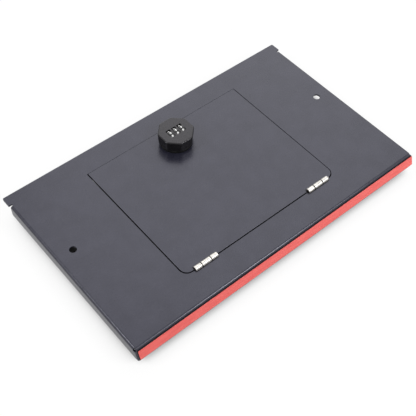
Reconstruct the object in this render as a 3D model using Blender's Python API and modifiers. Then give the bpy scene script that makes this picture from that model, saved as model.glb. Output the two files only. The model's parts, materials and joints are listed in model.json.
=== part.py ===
"""A lockable steel cover for the open storage bin of a vehicle.

A folded sheet with a taped front flange carries a flush door on two hinges. A knob with
three number wheels turns a cam under a keeper behind the door. Metres, +Z up, the front
flange towards -Y, and the origin under the middle of the whole part, where its lock ends.
"""

import math

import bmesh
import bpy
from mathutils import Matrix, Vector

MM = 0.001

# Shared clearances and counts
SEAT_GAP = 0.3 * MM
BOND_GAP = 0.15 * MM
OVERRUN = 1.0 * MM
WELD = 0.00001 * MM
ARC_STEPS = 6
BEND_STEPS = 5
SMALL_STEPS = 24
ROUND_STEPS = 48
SMOOTH_ANGLE = math.radians(30)
FLAT_ANGLE = math.radians(0.2)

# Cover sheet
SHEET = 2.0 * MM
BEND_RADIUS = 3.0 * MM
COVER_WIDTH = 380.0 * MM
COVER_DEPTH = 227.4 * MM
FRONT_FLANGE = 16.0 * MM
FRONT_LEAN = math.radians(17)
SIDE_DROP = 14.0 * MM
FLANGE_CORNER = 3.0 * MM
SIDE_CORNER = 1.5 * MM
RELIEF_BACK = 0.3 * MM
RELIEF_OUTER = 1.2 * MM
RELIEF_EDGE = 0.5 * MM
TONGUE_DEPTH = 12.2 * MM
TONGUE_PROUD = 1.0 * MM
TONGUE_CORNER = 1.8 * MM
SLOT_WIDTH = 2.1 * MM
FIXING_INSET = 19.9 * MM
FIXING_BACK = 128.1 * MM
FIXING_RADIUS = 4.0 * MM

# Adhesive tape on the front flange
TAPE_WIDTH = 11.2 * MM
TAPE_EDGE = 1.8 * MM
TAPE_LEFT_INSET = 2.6 * MM
TAPE_RIGHT_INSET = 0.5 * MM
TAPE_CORNER = 0.6 * MM
FOAM_THICKNESS = 0.8 * MM
LINER_THICKNESS = 0.25 * MM

# Door and its opening
DOOR_GAP = 1.0 * MM
DOOR_LINE = 33.1 * MM
DOOR_SIDE_MARGIN = 87.25 * MM
DOOR_REAR_MARGIN = 28.4 * MM
DOOR_FRONT_CORNER = 8.5 * MM
DOOR_REAR_CORNER = 1.2 * MM

# Hinges
HINGE_INSET = 25.5 * MM
KNUCKLE_RADIUS = 3.0 * MM
KNUCKLE_GAP = 0.4 * MM
END_KNUCKLE = 8.1 * MM
MIDDLE_KNUCKLE = 11.2 * MM
LEAF_THICKNESS = 1.0 * MM
LEAF_REACH = 16.0 * MM
LEAF_BEND = 3.6 * MM
PIVOT_RISE = 0.6 * MM
KNUCKLE_CLEARANCE = 0.4 * MM
CURL_TURN = math.radians(292)
CURL_STEPS = 20
PIN_ROUND = 0.4 * MM

# Keeper under the rear rim
KEEPER_OVERLAP = 5.25 * MM
KEEPER_LEDGE = 6.9 * MM
KEEPER_WELD = 9.0 * MM
KEEPER_TAB = 64.0 * MM
KEEPER_LIP = 12.0 * MM
KEEPER_RELIEF = 3.0 * MM
KEEPER_CORNER = 3.0 * MM
KEEPER_SHEET = 2.0 * MM

# Lock body, nut and washers
LOCK_INSET = 21.9 * MM
FLANGE_RADIUS = 18.6 * MM
FLANGE_HEIGHT = 2.7 * MM
FLANGE_ROUND = 0.5 * MM
RECESS_RADIUS = 12.3 * MM
RECESS_FLOOR = 0.8 * MM
BARREL_RADIUS = 9.0 * MM
BARREL_LENGTH = 17.0 * MM
BARREL_FLATS = 16.0 * MM
NOTCH_WIDTH = 4.0 * MM
NOTCH_OUTER = 15.4 * MM
STOP_WALL_HEIGHT = 2.0 * MM
STOP_WALL_INNER = 6.6 * MM
LOCK_WASHER_RADIUS = 13.2 * MM
LOCK_WASHER_TOOTH = 1.0 * MM
LOCK_WASHER_TEETH = 16
LOCK_WASHER_THICKNESS = 1.0 * MM
NUT_FLATS = 24.0 * MM
NUT_THICKNESS = 4.5 * MM
NUT_CHAMFER = 0.6 * MM

# Knob housing
KNOB_TURN = math.radians(90)
KNOB_SIDES = 8
KNOB_FLATS = 38.6 * MM
KNOB_BASE_FLATS = 37.0 * MM
KNOB_TOP = 17.0 * MM
KNOB_CHAMFER = 0.9 * MM
KNOB_EDGE = 0.5 * MM
KNOB_CAVITY_RADIUS = 17.0 * MM
KNOB_ROOF = 1.5 * MM
WINDOW_LENGTH = 11.2 * MM
WINDOW_CORNER = 0.8 * MM
BOSS_RADIUS = 1.8 * MM
BOSS_PLACE = 14.0 * MM
BOSS_ANGLES = (135, 225, 315)

# Rotor and spindle
ROTOR_THICKNESS = 1.7 * MM
STEM_RADIUS = 4.5 * MM
SQUARE = 6.2 * MM
POST_THICKNESS = 2.2 * MM
POST_WIDTH = 7.0 * MM
KNOB_SCREW_RADIUS = 1.1 * MM
KNOB_SCREW_HEAD = 1.9 * MM
KNOB_SCREW_LENGTH = 7.0 * MM

# Number wheels and code sleeves
WHEEL_NAMES = ("left", "centre", "right")
WHEEL_DIGITS = 10
WHEEL_RADIUS = 6.7 * MM
WHEEL_WIDTH = 5.0 * MM
WHEEL_PITCH = 7.3 * MM
WHEEL_PROUD = 0.6 * MM
WHEEL_GROOVE = 0.35 * MM
GROOVE_HALF_ANGLE = math.radians(3)
FACETS_PER_DIGIT = 5
SLEEVE_RADIUS = 3.4 * MM
AXLE_RADIUS = 1.5 * MM
COLLAR_RADIUS = 4.6 * MM
COLLAR_THICKNESS = 1.4 * MM
COLLAR_GATE = 3.0 * MM

# Locking bolt and springs
BOLT_TRAVEL = 1.0 * MM
BOLT_THICKNESS = 1.1 * MM
BOLT_BAR_BACK = 8.0 * MM
BOLT_BAR_DEPTH = 2.0 * MM
FINGER_WIDTH = 1.2 * MM
TONGUE_WIDTH = 3.4 * MM
TONGUE_BACK = 12.8 * MM
TONGUE_THICKNESS = 2.0 * MM
TONGUE_SHOULDER = 0.2 * MM
SPRING_SHEET = 0.3 * MM
BOLT_SPRING_SPAN = 10.0 * MM
BOLT_SPRING_ASIDE = 1.6 * MM
BOLT_SPRING_WIDTH = 1.6 * MM
DETENT_WIDTH = 1.0 * MM
DETENT_FOOT = 4.2 * MM
DETENT_RISE = 4.4 * MM
DETENT_LEAN = 1.6 * MM

# Stop washer, cam and their fastening
STOP_WASHER_RADIUS = 6.2 * MM
STOP_WASHER_THICKNESS = 1.5 * MM
EAR_RADIUS = 8.6 * MM
EAR_HALF_ANGLE = math.radians(18)
EAR_CLEARANCE = math.radians(2.5)
CAM_THICKNESS = 2.0 * MM
CAM_REACH = 28.0 * MM
CAM_WIDTH = 16.0 * MM
CAM_TIP_WIDTH = 13.0 * MM
CAM_CORNER = 3.0 * MM
CAM_WASHER_RADIUS = 6.6 * MM
CAM_WASHER_TOOTH = 0.7 * MM
CAM_WASHER_TEETH = 12
CAM_WASHER_THICKNESS = 0.7 * MM
SCREW_RADIUS = 1.9 * MM
SCREW_LENGTH = 9.0 * MM
SCREW_HEAD_RADIUS = 4.4 * MM
SCREW_HEAD_HEIGHT = 2.6 * MM
SCREW_HEAD_ROUND = 0.8 * MM

# Places worked out from the sizes above
TAPE_STACK = BOND_GAP + FOAM_THICKNESS + BOND_GAP + LINER_THICKNESS
FRONT_BEND = math.pi / 2 - FRONT_LEAN
FRONT_SETBACK = BEND_RADIUS * math.tan(FRONT_BEND / 2)
TAPE_LOW = FRONT_FLANGE - TAPE_EDGE
FRONT_REACH = TAPE_LOW * math.sin(FRONT_LEAN) + TAPE_STACK * math.cos(FRONT_LEAN)
FRONT_EDGE = -(COVER_DEPTH - FRONT_REACH) / 2
UNDERSIDE = -SHEET
LEAF_TOP = UNDERSIDE - SEAT_GAP
FIXING_SPACING = COVER_WIDTH - 2 * FIXING_INSET
DOOR_WIDTH = COVER_WIDTH - 2 * DOOR_SIDE_MARGIN
DOOR_DEPTH = COVER_DEPTH - DOOR_LINE - DOOR_GAP / 2 - DOOR_REAR_MARGIN
HINGE_SPACING = DOOR_WIDTH - 2 * HINGE_INSET
KEEPER_LENGTH = DOOR_WIDTH + 2 * KEEPER_OVERLAP
LOCK_BACK = DOOR_GAP / 2 + DOOR_DEPTH - LOCK_INSET
OPENING_FRONT = DOOR_LINE - DOOR_GAP / 2
OPENING_BACK = OPENING_FRONT + DOOR_DEPTH + 2 * DOOR_GAP
BARREL_LENGTH_OF_HINGE = 2 * END_KNUCKLE + MIDDLE_KNUCKLE + 2 * KNUCKLE_GAP
NOTCH_REACH = KNUCKLE_RADIUS + KNUCKLE_CLEARANCE
FLANGE_BASE = SEAT_GAP
FLANGE_TOP = FLANGE_BASE + FLANGE_HEIGHT
ROTOR_BASE = FLANGE_TOP + SEAT_GAP
ROTOR_TOP = ROTOR_BASE + ROTOR_THICKNESS
AXLE_HEIGHT = KNOB_TOP + WHEEL_PROUD - WHEEL_RADIUS
BARREL_END = -BARREL_LENGTH
STOP_WASHER_TOP = BARREL_END - SEAT_GAP
CAM_TOP = STOP_WASHER_TOP - STOP_WASHER_THICKNESS - SEAT_GAP
CAM_BOTTOM = CAM_TOP - CAM_THICKNESS
CAM_WASHER_TOP = CAM_BOTTOM - SEAT_GAP
SCREW_SEAT = CAM_WASHER_TOP - CAM_WASHER_THICKNESS - SEAT_GAP
COVER_HEIGHT = SCREW_HEAD_HEIGHT - SCREW_SEAT

# Colours from the photograph: red, green, blue, roughness, metallic
BLACK_COAT = (0.040, 0.040, 0.048, 0.45, 0.0)
BLACK_CAST = (0.012, 0.012, 0.013, 0.35, 0.0)
BLACK_WHEEL = (0.010, 0.010, 0.010, 0.40, 0.0)
NICKEL = (0.72, 0.69, 0.64, 0.28, 1.0)
ZINC = (0.55, 0.56, 0.58, 0.38, 1.0)
SPRING_STEEL = (0.45, 0.45, 0.46, 0.30, 1.0)
BRASS = (0.62, 0.48, 0.22, 0.35, 1.0)
RED_LINER = (0.80, 0.10, 0.09, 0.40, 0.0)
DARK_FOAM = (0.05, 0.05, 0.05, 0.90, 0.0)


def clear_scene():
    """Removes what the startup file holds."""
    for obj in list(bpy.data.objects):
        bpy.data.objects.remove(obj, do_unlink=True)


def new_collection(name, shown):
    collection = bpy.data.collections.new(name)
    bpy.context.scene.collection.children.link(collection)
    collection.hide_render = not shown
    return collection


clear_scene()
PARTS = new_collection("bin_cover_with_lock", True)
CUTTERS = new_collection("cutters", False)


def material(name, finish):
    """A plain surface for one sub-part."""
    made = bpy.data.materials.new(name)
    made.use_nodes = True
    shader = made.node_tree.nodes["Principled BSDF"]
    shader.inputs["Base Color"].default_value = (*finish[:3], 1.0)
    shader.inputs["Roughness"].default_value = finish[3]
    shader.inputs["Metallic"].default_value = finish[4]
    return made


def pivot(name, parent=None, location=(0, 0, 0)):
    """An empty that carries what moves, or is measured, together."""
    empty = bpy.data.objects.new(name, None)
    PARTS.objects.link(empty)
    empty.parent = parent
    empty.location = location
    return empty


def part(name, mesh, finish, parent, location=(0, 0, 0), rotation=(0, 0, 0)):
    """A sub-part in its own material, placed on the empty that carries it."""
    obj = bpy.data.objects.new(name, mesh)
    PARTS.objects.link(obj)
    obj.data.materials.append(material(name, finish))
    obj.parent = parent
    obj.location = location
    obj.rotation_euler = rotation
    return obj


def helper(name, mesh, parent, location=(0, 0, 0), rotation=(0, 0, 0)):
    """A shape that cuts or joins a sub-part, and isn't one itself."""
    obj = bpy.data.objects.new(name, mesh)
    CUTTERS.objects.link(obj)
    obj.hide_render = True
    obj.display_type = "WIRE"
    obj.parent = parent
    obj.location = location
    obj.rotation_euler = rotation
    return obj


def combine(obj, operation, other):
    """Cuts, joins or intersects the object with a helper."""
    modifier = obj.modifiers.new(operation.lower() + "_" + other.name, "BOOLEAN")
    modifier.operation = operation
    modifier.solver = "EXACT"
    modifier.object = other


def mesh_from(bm, name):
    mesh = bpy.data.meshes.new(name)
    bm.to_mesh(mesh)
    bm.free()
    return mesh


def outline(corners):
    """A closed outline through (x, y, radius) corners, each rounded by its radius."""
    points = []
    for index, (x, y, radius) in enumerate(corners):
        here = Vector((x, y))
        if radius == 0:
            points.append(here)
            continue
        before = (Vector(corners[index - 1][:2]) - here).normalized()
        after = (Vector(corners[(index + 1) % len(corners)][:2]) - here).normalized()
        half_angle = before.angle(after) / 2
        centre = here + (before + after).normalized() * radius / math.sin(half_angle)
        start = here + before * radius / math.tan(half_angle) - centre
        sweep = math.pi - 2 * half_angle
        turn = math.copysign(sweep, before.y * after.x - before.x * after.y)
        for step in range(ARC_STEPS + 1):
            angle = turn * step / ARC_STEPS
            cosine, sine = math.cos(angle), math.sin(angle)
            spoke = Vector((start.x * cosine - start.y * sine, start.x * sine + start.y * cosine))
            points.append(centre + spoke)
    return points


def circle(x, y, radius, steps):
    angles = [2 * math.pi * step / steps for step in range(steps)]
    return [Vector((x + radius * math.cos(a), y + radius * math.sin(a))) for a in angles]


def rectangle(x_low, y_low, x_high, y_high, radius=0):
    return outline(
        [(x_low, y_low, radius), (x_high, y_low, radius), (x_high, y_high, radius), (x_low, y_high, radius)]
    )


def double_flat(radius, flats):
    """A round outline cut by two flats that face left and right."""
    half = flats / 2
    reach = math.acos(half / radius)
    points = []
    for middle in (math.pi / 2, -math.pi / 2):
        span = math.pi / 2 - reach
        for step in range(SMALL_STEPS + 1):
            angle = middle - span + 2 * span * step / SMALL_STEPS
            points.append(Vector((radius * math.cos(angle), radius * math.sin(angle))))
    return points


def toothed(radius, depth, teeth):
    """A round outline with square teeth, as a toothed lock washer has."""
    points = []
    for tooth in range(teeth):
        for share, reach in ((0.0, radius), (0.5, radius), (0.5, radius - depth), (1.0, radius - depth)):
            angle = 2 * math.pi * (tooth + share) / teeth
            points.append(Vector((reach * math.cos(angle), reach * math.sin(angle))))
    return points


def flat_mesh(name, loops, thickness):
    """A flat sheet with the first loop as its edge and the rest as holes, from z 0 up to its thickness."""
    curve = bpy.data.curves.new(name, "CURVE")
    curve.dimensions = "2D"
    curve.fill_mode = "BOTH"
    curve.extrude = thickness / 2
    for loop in loops:
        spline = curve.splines.new("POLY")
        spline.points.add(len(loop) - 1)
        for point, place in zip(spline.points, loop):
            point.co = (place.x, place.y, 0, 1)
        spline.use_cyclic_u = True
    drawn = bpy.data.objects.new(name, curve)
    bpy.context.scene.collection.objects.link(drawn)
    bpy.context.view_layer.update()
    graph = bpy.context.evaluated_depsgraph_get()
    mesh = bpy.data.meshes.new_from_object(drawn.evaluated_get(graph))
    bpy.data.objects.remove(drawn, do_unlink=True)
    bpy.data.curves.remove(curve)
    bm = bmesh.new()
    bm.from_mesh(mesh)
    bpy.data.meshes.remove(mesh)
    bmesh.ops.remove_doubles(bm, verts=bm.verts, dist=WELD)
    bmesh.ops.translate(bm, verts=bm.verts, vec=(0, 0, thickness / 2))
    bmesh.ops.recalc_face_normals(bm, faces=bm.faces)
    return mesh_from(bm, name)


def disc_mesh(name, radius, bottom, top, steps=ROUND_STEPS):
    """A plain cylinder about Z between two heights."""
    bm = bmesh.new()
    bmesh.ops.create_cone(
        bm, cap_ends=True, segments=steps, radius1=radius, radius2=radius, depth=top - bottom
    )
    bmesh.ops.translate(bm, verts=bm.verts, vec=(0, 0, (top + bottom) / 2))
    return mesh_from(bm, name)


def box_mesh(name, low, high):
    """A box between two corners."""
    low, high = Vector(low), Vector(high)
    bm = bmesh.new()
    bmesh.ops.create_cube(bm, size=1)
    bmesh.ops.scale(bm, verts=bm.verts, vec=high - low)
    bmesh.ops.translate(bm, verts=bm.verts, vec=(high + low) / 2)
    return mesh_from(bm, name)


def profile_mesh(name, profile):
    """The half section of a turned piece, as (radius, height) points from the top of its axis down."""
    mesh = bpy.data.meshes.new(name)
    points = [(radius, 0, height) for radius, height in profile]
    mesh.from_pydata(points, [(i, i + 1) for i in range(len(points) - 1)], [])
    return mesh


def turn(obj, steps):
    """Turns the object's half section about Z."""
    screw = obj.modifiers.new("turned", "SCREW")
    screw.axis = "Z"
    screw.angle = 2 * math.pi
    screw.steps = steps
    screw.render_steps = steps
    screw.use_merge_vertices = True
    screw.merge_threshold = WELD
    screw.use_smooth_shade = True
    return obj


def closed_profile(profile):
    """A half section that ends where it began, as a ring has."""
    return [*profile, profile[0]]


def travel(runs, distance, depth):
    """The (across, down) place after a distance along straight runs and bends, at a depth in the sheet."""
    across = down = heading = 0.0
    for length, radius in runs:
        step = min(distance, length)
        if radius:
            angle = step / radius
            across += radius * (math.sin(heading + angle) - math.sin(heading))
            down += radius * (math.cos(heading) - math.cos(heading + angle))
            heading += angle
        else:
            across += step * math.cos(heading)
            down += step * math.sin(heading)
        distance -= step
        if distance <= 0:
            break
    return across - depth * math.sin(heading), down + depth * math.cos(heading)


def bend_marks(runs):
    """The distances at which a blank is creased so that its bends come out round."""
    marks = []
    start = 0.0
    for length, radius in runs:
        if radius:
            marks += [start + length * step / BEND_STEPS for step in range(BEND_STEPS + 1)]
        start += length
    return marks


def quarter(radius):
    """The length of a quarter bend."""
    return math.pi / 2 * radius


def crease(bm, axis, distances, wanted):
    """Cuts the blank along straight lines square to an axis, where a face's middle is wanted."""
    for distance in distances:
        place = [0.0, 0.0, 0.0]
        place[axis] = distance
        normal = [0.0, 0.0, 0.0]
        normal[axis] = 1.0
        faces = [face for face in bm.faces if wanted(face.calc_center_median())]
        edges = {edge for face in faces for edge in face.edges}
        verts = {vert for face in faces for vert in face.verts}
        geometry = [*verts, *edges, *faces]
        bmesh.ops.bisect_plane(bm, geom=geometry, dist=WELD, plane_co=place, plane_no=normal)


def fold(bm, folded, name):
    """Moves every point of a thick blank to its folded place, and joins the faces that stay flat."""
    for vert in bm.verts:
        vert.co = folded(vert.co)
    bm.normal_update()
    bmesh.ops.dissolve_limit(bm, angle_limit=FLAT_ANGLE, verts=bm.verts, edges=bm.edges)
    return mesh_from(bm, name)


def side_runs():
    """From the middle of the cover over a side bend."""
    return [
        (COVER_WIDTH / 2 - BEND_RADIUS, 0),
        (quarter(BEND_RADIUS), BEND_RADIUS),
        (SIDE_DROP - BEND_RADIUS, 0),
    ]


def front_runs():
    """From the middle of the cover's depth over the front bend, which leaves the flange leaning out."""
    return [
        (COVER_DEPTH / 2 - FRONT_SETBACK, 0),
        (FRONT_BEND * BEND_RADIUS, BEND_RADIUS),
        (FRONT_FLANGE - FRONT_SETBACK, 0),
    ]


def side_front(drop):
    """Where a side flange ends behind the leaning front flange, at a drop below the top."""
    sheet_behind = SHEET / math.cos(FRONT_LEAN) + SEAT_GAP
    return sheet_behind - drop * math.tan(FRONT_LEAN) - COVER_DEPTH / 2


def hinge_places():
    return (-HINGE_SPACING / 2, HINGE_SPACING / 2)


def opening_corners(grow, notch_side):
    """The door's outline, or with grow its opening's, notched for the hinges' knuckles.

    notch_side is -1 for notches that reach to the front, and 1 for ones that reach back.
    """
    half = DOOR_WIDTH / 2 + grow
    front = DOOR_LINE + DOOR_GAP / 2 - grow
    back = DOOR_LINE + DOOR_GAP / 2 + DOOR_DEPTH + grow
    notch = DOOR_LINE + notch_side * NOTCH_REACH
    half_notch = BARREL_LENGTH_OF_HINGE / 2 + KNUCKLE_CLEARANCE
    corners = [(-half, front, DOOR_FRONT_CORNER + grow)]
    for middle in hinge_places():
        corners += [
            (middle - half_notch, front, 0),
            (middle - half_notch, notch, 0),
            (middle + half_notch, notch, 0),
            (middle + half_notch, front, 0),
        ]
    corners += [
        (half, front, DOOR_FRONT_CORNER + grow),
        (half, back, DOOR_REAR_CORNER),
        (-half, back, DOOR_REAR_CORNER),
    ]
    return outline(corners)


def cover_blank():
    """The flat blank's edge, in distances from the middle of the sheet's width and depth."""
    middle = COVER_DEPTH / 2
    side_end = sum(length for length, _ in side_runs())
    front_end = -sum(length for length, _ in front_runs())
    half = COVER_WIDTH / 2
    inner = half - BEND_RADIUS
    front_bend = FRONT_SETBACK - middle
    full_width = front_bend - FRONT_BEND * BEND_RADIUS - RELIEF_EDGE
    relief_side = inner + RELIEF_OUTER
    relief_back = front_bend + RELIEF_BACK
    bend_end = inner + quarter(BEND_RADIUS) + RELIEF_EDGE
    slot_back = middle - TONGUE_DEPTH
    slot_front = slot_back - SLOT_WIDTH
    right = [
        (half, front_end, FLANGE_CORNER),
        (half, full_width, 0),
        (relief_side, full_width, 0),
        (relief_side, relief_back, 0),
        (bend_end, relief_back, 0),
        (bend_end, side_front(BEND_RADIUS + RELIEF_EDGE), 0),
        (side_end, side_front(SIDE_DROP), 0),
        (side_end, slot_front, SIDE_CORNER),
        (inner, slot_front, 0),
        (inner, slot_back, 0),
        (half + TONGUE_PROUD, slot_back, RELIEF_EDGE),
        (half + TONGUE_PROUD, middle, TONGUE_CORNER),
    ]
    left = [(-x, y, radius) for x, y, radius in reversed(right)]
    return outline(right + left)


def on_folded_cover(point):
    """Where a point of the blank lies on the folded cover, from the middle of its front edge.

    Beside the corner relief, the side's bend fades out over the length of the front bend.
    """
    x, y, depth = point.x, point.y, SHEET - point.z
    middle = COVER_DEPTH / 2
    if y > middle - TONGUE_DEPTH - WELD:
        return x, middle + y, -depth
    across, down = travel(side_runs(), abs(x), depth)
    into_bend = FRONT_SETBACK - middle - y
    between_sides = abs(x) < COVER_WIDTH / 2 + WELD
    if between_sides and into_bend > 0:
        fading_share = max(0, 1 - into_bend / (FRONT_BEND * BEND_RADIUS))
        across = abs(x) + (across - abs(x)) * fading_share
        forward, front_down = travel(front_runs(), -y, depth)
        down = front_down + (down - depth) * fading_share
        return math.copysign(across, x), middle - forward, -down
    return math.copysign(across, x), middle + y, -down


def fixing_holes():
    back = FIXING_BACK - COVER_DEPTH / 2
    return [circle(side * FIXING_SPACING / 2, back, FIXING_RADIUS, SMALL_STEPS) for side in (-1, 1)]


def make_cover(frame):
    """The cover: one blank with its opening and holes, folded down at the front and sides."""
    middle = COVER_DEPTH / 2
    opening = [Vector((p.x, p.y - middle)) for p in opening_corners(DOOR_GAP, -1)]
    blank = flat_mesh("cover_panel", [cover_blank(), opening, *fixing_holes()], SHEET)
    bm = bmesh.new()
    bm.from_mesh(blank)
    bend_line = FRONT_SETBACK - middle
    tongue_line = middle - TONGUE_DEPTH
    crease(bm, 1, [bend_line, tongue_line], lambda at: True)
    bend_end = bend_line - FRONT_BEND * BEND_RADIUS
    side_marks = bend_marks(side_runs())
    side_marks += [-mark for mark in side_marks]
    crease(bm, 1, [bend_end], lambda at: abs(at.x) < COVER_WIDTH / 2)
    crease(bm, 0, side_marks, lambda at: bend_end < at.y < tongue_line)
    front_marks = [-mark for mark in bend_marks(front_runs())]
    crease(bm, 1, front_marks, lambda at: at.y < bend_line and abs(at.x) < COVER_WIDTH / 2)
    mesh = fold(bm, on_folded_cover, "cover_panel")
    part("cover_panel", mesh, BLACK_COAT, frame)


def make_tape(frame):
    """The foam tape on the front flange and the liner over it."""
    low = -COVER_WIDTH / 2 + TAPE_LEFT_INSET
    high = COVER_WIDTH / 2 - TAPE_RIGHT_INSET
    edge = rectangle(low, -TAPE_LOW, high, TAPE_WIDTH - TAPE_LOW, TAPE_CORNER)
    leaning = (FRONT_BEND, 0, 0)
    layers = (
        ("tape_foam", FOAM_THICKNESS, BOND_GAP, DARK_FOAM),
        ("tape_liner", LINER_THICKNESS, BOND_GAP + FOAM_THICKNESS + BOND_GAP, RED_LINER),
    )
    for name, thickness, back, finish in layers:
        mesh = flat_mesh(name, [edge], thickness)
        proud = (0, -back * math.cos(FRONT_LEAN), back * math.sin(FRONT_LEAN))
        part(name, mesh, finish, frame, proud, leaning)


def make_door(pivot_empty):
    """The flat door, with its hinge notches and the lock's flatted hole."""
    drop = -PIVOT_RISE
    edge = [Vector((p.x, p.y - DOOR_LINE)) for p in opening_corners(0, 1)]
    hole = [
        Vector((p.x, p.y + LOCK_BACK))
        for p in double_flat(BARREL_RADIUS + SEAT_GAP, BARREL_FLATS + 2 * SEAT_GAP)
    ]
    mesh = flat_mesh("door_panel", [edge, hole], SHEET)
    part("door_panel", mesh, BLACK_COAT, pivot_empty, (0, 0, drop - SHEET))


def curl_path():
    """A leaf's middle line, as (out, up) from the pin's axis: its plate, and the curl round the pin."""
    plate = LEAF_TOP - LEAF_THICKNESS / 2 - PIVOT_RISE
    radius = KNUCKLE_RADIUS - LEAF_THICKNESS / 2
    bend = Vector((LEAF_BEND, plate))
    distance = bend.length
    toward = math.atan2(-bend.y, -bend.x) + math.asin(radius / distance)
    reach = math.sqrt(distance**2 - radius**2)
    touch = bend + reach * Vector((math.cos(toward), math.sin(toward)))
    start = math.atan2(touch.y, touch.x)
    path = [Vector((LEAF_REACH, plate)), bend]
    for step in range(CURL_STEPS + 1):
        angle = start - CURL_TURN * step / CURL_STEPS
        path.append(Vector((radius * math.cos(angle), radius * math.sin(angle))))
    return path


def strip_mesh(name, path, width_low, width_high, fingers, shared_points):
    """A strip along a path of (out, up) points, wide at first and then split into fingers.

    fingers are (low, high) pairs across the strip. The first shared_points points of the
    path run over the whole width, and the rest over the fingers alone.
    """
    breaks = sorted({width_low, width_high, *(edge for finger in fingers for edge in finger)})
    bm = bmesh.new()
    rows = [[bm.verts.new((x, point.x, point.y)) for x in breaks] for point in path]
    for row in range(len(path) - 1):
        for column in range(len(breaks) - 1):
            middle = (breaks[column] + breaks[column + 1]) / 2
            in_finger = any(low < middle < high for low, high in fingers)
            if row + 1 < shared_points or in_finger:
                corner = [
                    rows[row][column],
                    rows[row][column + 1],
                    rows[row + 1][column + 1],
                    rows[row + 1][column],
                ]
                bm.faces.new(corner)
    loose = [vert for vert in bm.verts if not vert.link_faces]
    bmesh.ops.delete(bm, geom=loose, context="VERTS")
    return mesh_from(bm, name)


def centre_thickness(obj, thickness):
    """Thickens an open strip evenly to both sides of its path."""
    solidify = obj.modifiers.new("sheet", "SOLIDIFY")
    solidify.thickness = thickness
    solidify.offset = 0
    solidify.use_even_offset = True


def make_hinge(side, middle, cover_pivot, door_pivot):
    """Two rolled leaves and the pin through their knuckles."""
    half = BARREL_LENGTH_OF_HINGE / 2
    inner = MIDDLE_KNUCKLE / 2
    outer_fingers = [(-half, -half + END_KNUCKLE), (half - END_KNUCKLE, half)]
    path = curl_path()
    frame_mesh = strip_mesh("frame_leaf", path, -half, half, outer_fingers, 2)
    door_mesh = strip_mesh("door_leaf", path, -half, half, [(-inner, inner)], 2)
    about_face = (0, 0, math.pi)
    frame_leaf = part(
        f"hinge_frame_leaf_{side}", frame_mesh, NICKEL, cover_pivot, (middle, 0, 0), about_face
    )
    door_leaf = part(f"hinge_door_leaf_{side}", door_mesh, NICKEL, door_pivot, (middle, 0, 0))
    for leaf in (frame_leaf, door_leaf):
        centre_thickness(leaf, LEAF_THICKNESS)
    pin_radius = KNUCKLE_RADIUS - LEAF_THICKNESS - SEAT_GAP
    profile = [
        (0, half),
        (pin_radius - PIN_ROUND, half),
        (pin_radius, half - PIN_ROUND),
        (pin_radius, -half + PIN_ROUND),
        (pin_radius - PIN_ROUND, -half),
        (0, -half),
    ]
    along_x = (0, math.pi / 2, 0)
    pin_mesh = profile_mesh("pin", profile)
    pin = part(f"hinge_pin_{side}", pin_mesh, NICKEL, cover_pivot, (middle, 0, 0), along_x)
    turn(pin, SMALL_STEPS)


def keeper_runs():
    """From the keeper's front edge: the ledge, down its wall, and forward along its lip."""
    lip_underside = CAM_TOP + SEAT_GAP
    wall = UNDERSIDE - SEAT_GAP - lip_underside - 2 * BEND_RADIUS
    ledge = KEEPER_LEDGE + DOOR_GAP + KEEPER_WELD
    return [
        (ledge - BEND_RADIUS, 0),
        (quarter(BEND_RADIUS), BEND_RADIUS),
        (wall, 0),
        (quarter(BEND_RADIUS), BEND_RADIUS),
        (KEEPER_LIP - BEND_RADIUS, 0),
    ]


def on_folded_keeper(point):
    """Where a point of the keeper's blank lies, with only its tab folded."""
    depth = KEEPER_SHEET - point.z
    if abs(point.x) > KEEPER_TAB / 2 + OVERRUN:
        return point.x, point.y, -depth
    back, down = travel(keeper_runs(), point.y, depth)
    return point.x, back, -down


def make_keeper(frame):
    """The ledge that the door's rear edge rests on, with a folded tab for the cam to pass under."""
    runs = keeper_runs()
    total = sum(length for length, _ in runs)
    half = KEEPER_LENGTH / 2
    tab = KEEPER_TAB / 2
    strip = KEEPER_LEDGE + DOOR_GAP + KEEPER_WELD
    corners = [
        (-half, 0, KEEPER_CORNER),
        (half, 0, KEEPER_CORNER),
        (half, strip, KEEPER_CORNER),
        (tab + KEEPER_RELIEF, strip, 0),
        (tab + KEEPER_RELIEF, strip - BEND_RADIUS - RELIEF_EDGE, 0),
        (tab, strip - BEND_RADIUS - RELIEF_EDGE, 0),
        (tab, total, KEEPER_CORNER),
        (-tab, total, KEEPER_CORNER),
        (-tab, strip - BEND_RADIUS - RELIEF_EDGE, 0),
        (-tab - KEEPER_RELIEF, strip - BEND_RADIUS - RELIEF_EDGE, 0),
        (-tab - KEEPER_RELIEF, strip, 0),
        (-half, strip, KEEPER_CORNER),
    ]
    blank = flat_mesh("latch_keeper", [outline(corners)], KEEPER_SHEET)
    bm = bmesh.new()
    bm.from_mesh(blank)
    crease(bm, 1, bend_marks(runs), lambda at: abs(at.x) < tab + OVERRUN)
    mesh = fold(bm, on_folded_keeper, "latch_keeper")
    front = OPENING_BACK - DOOR_GAP - KEEPER_LEDGE
    part("latch_keeper", mesh, BLACK_COAT, frame, (0, front, LEAF_TOP))


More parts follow.
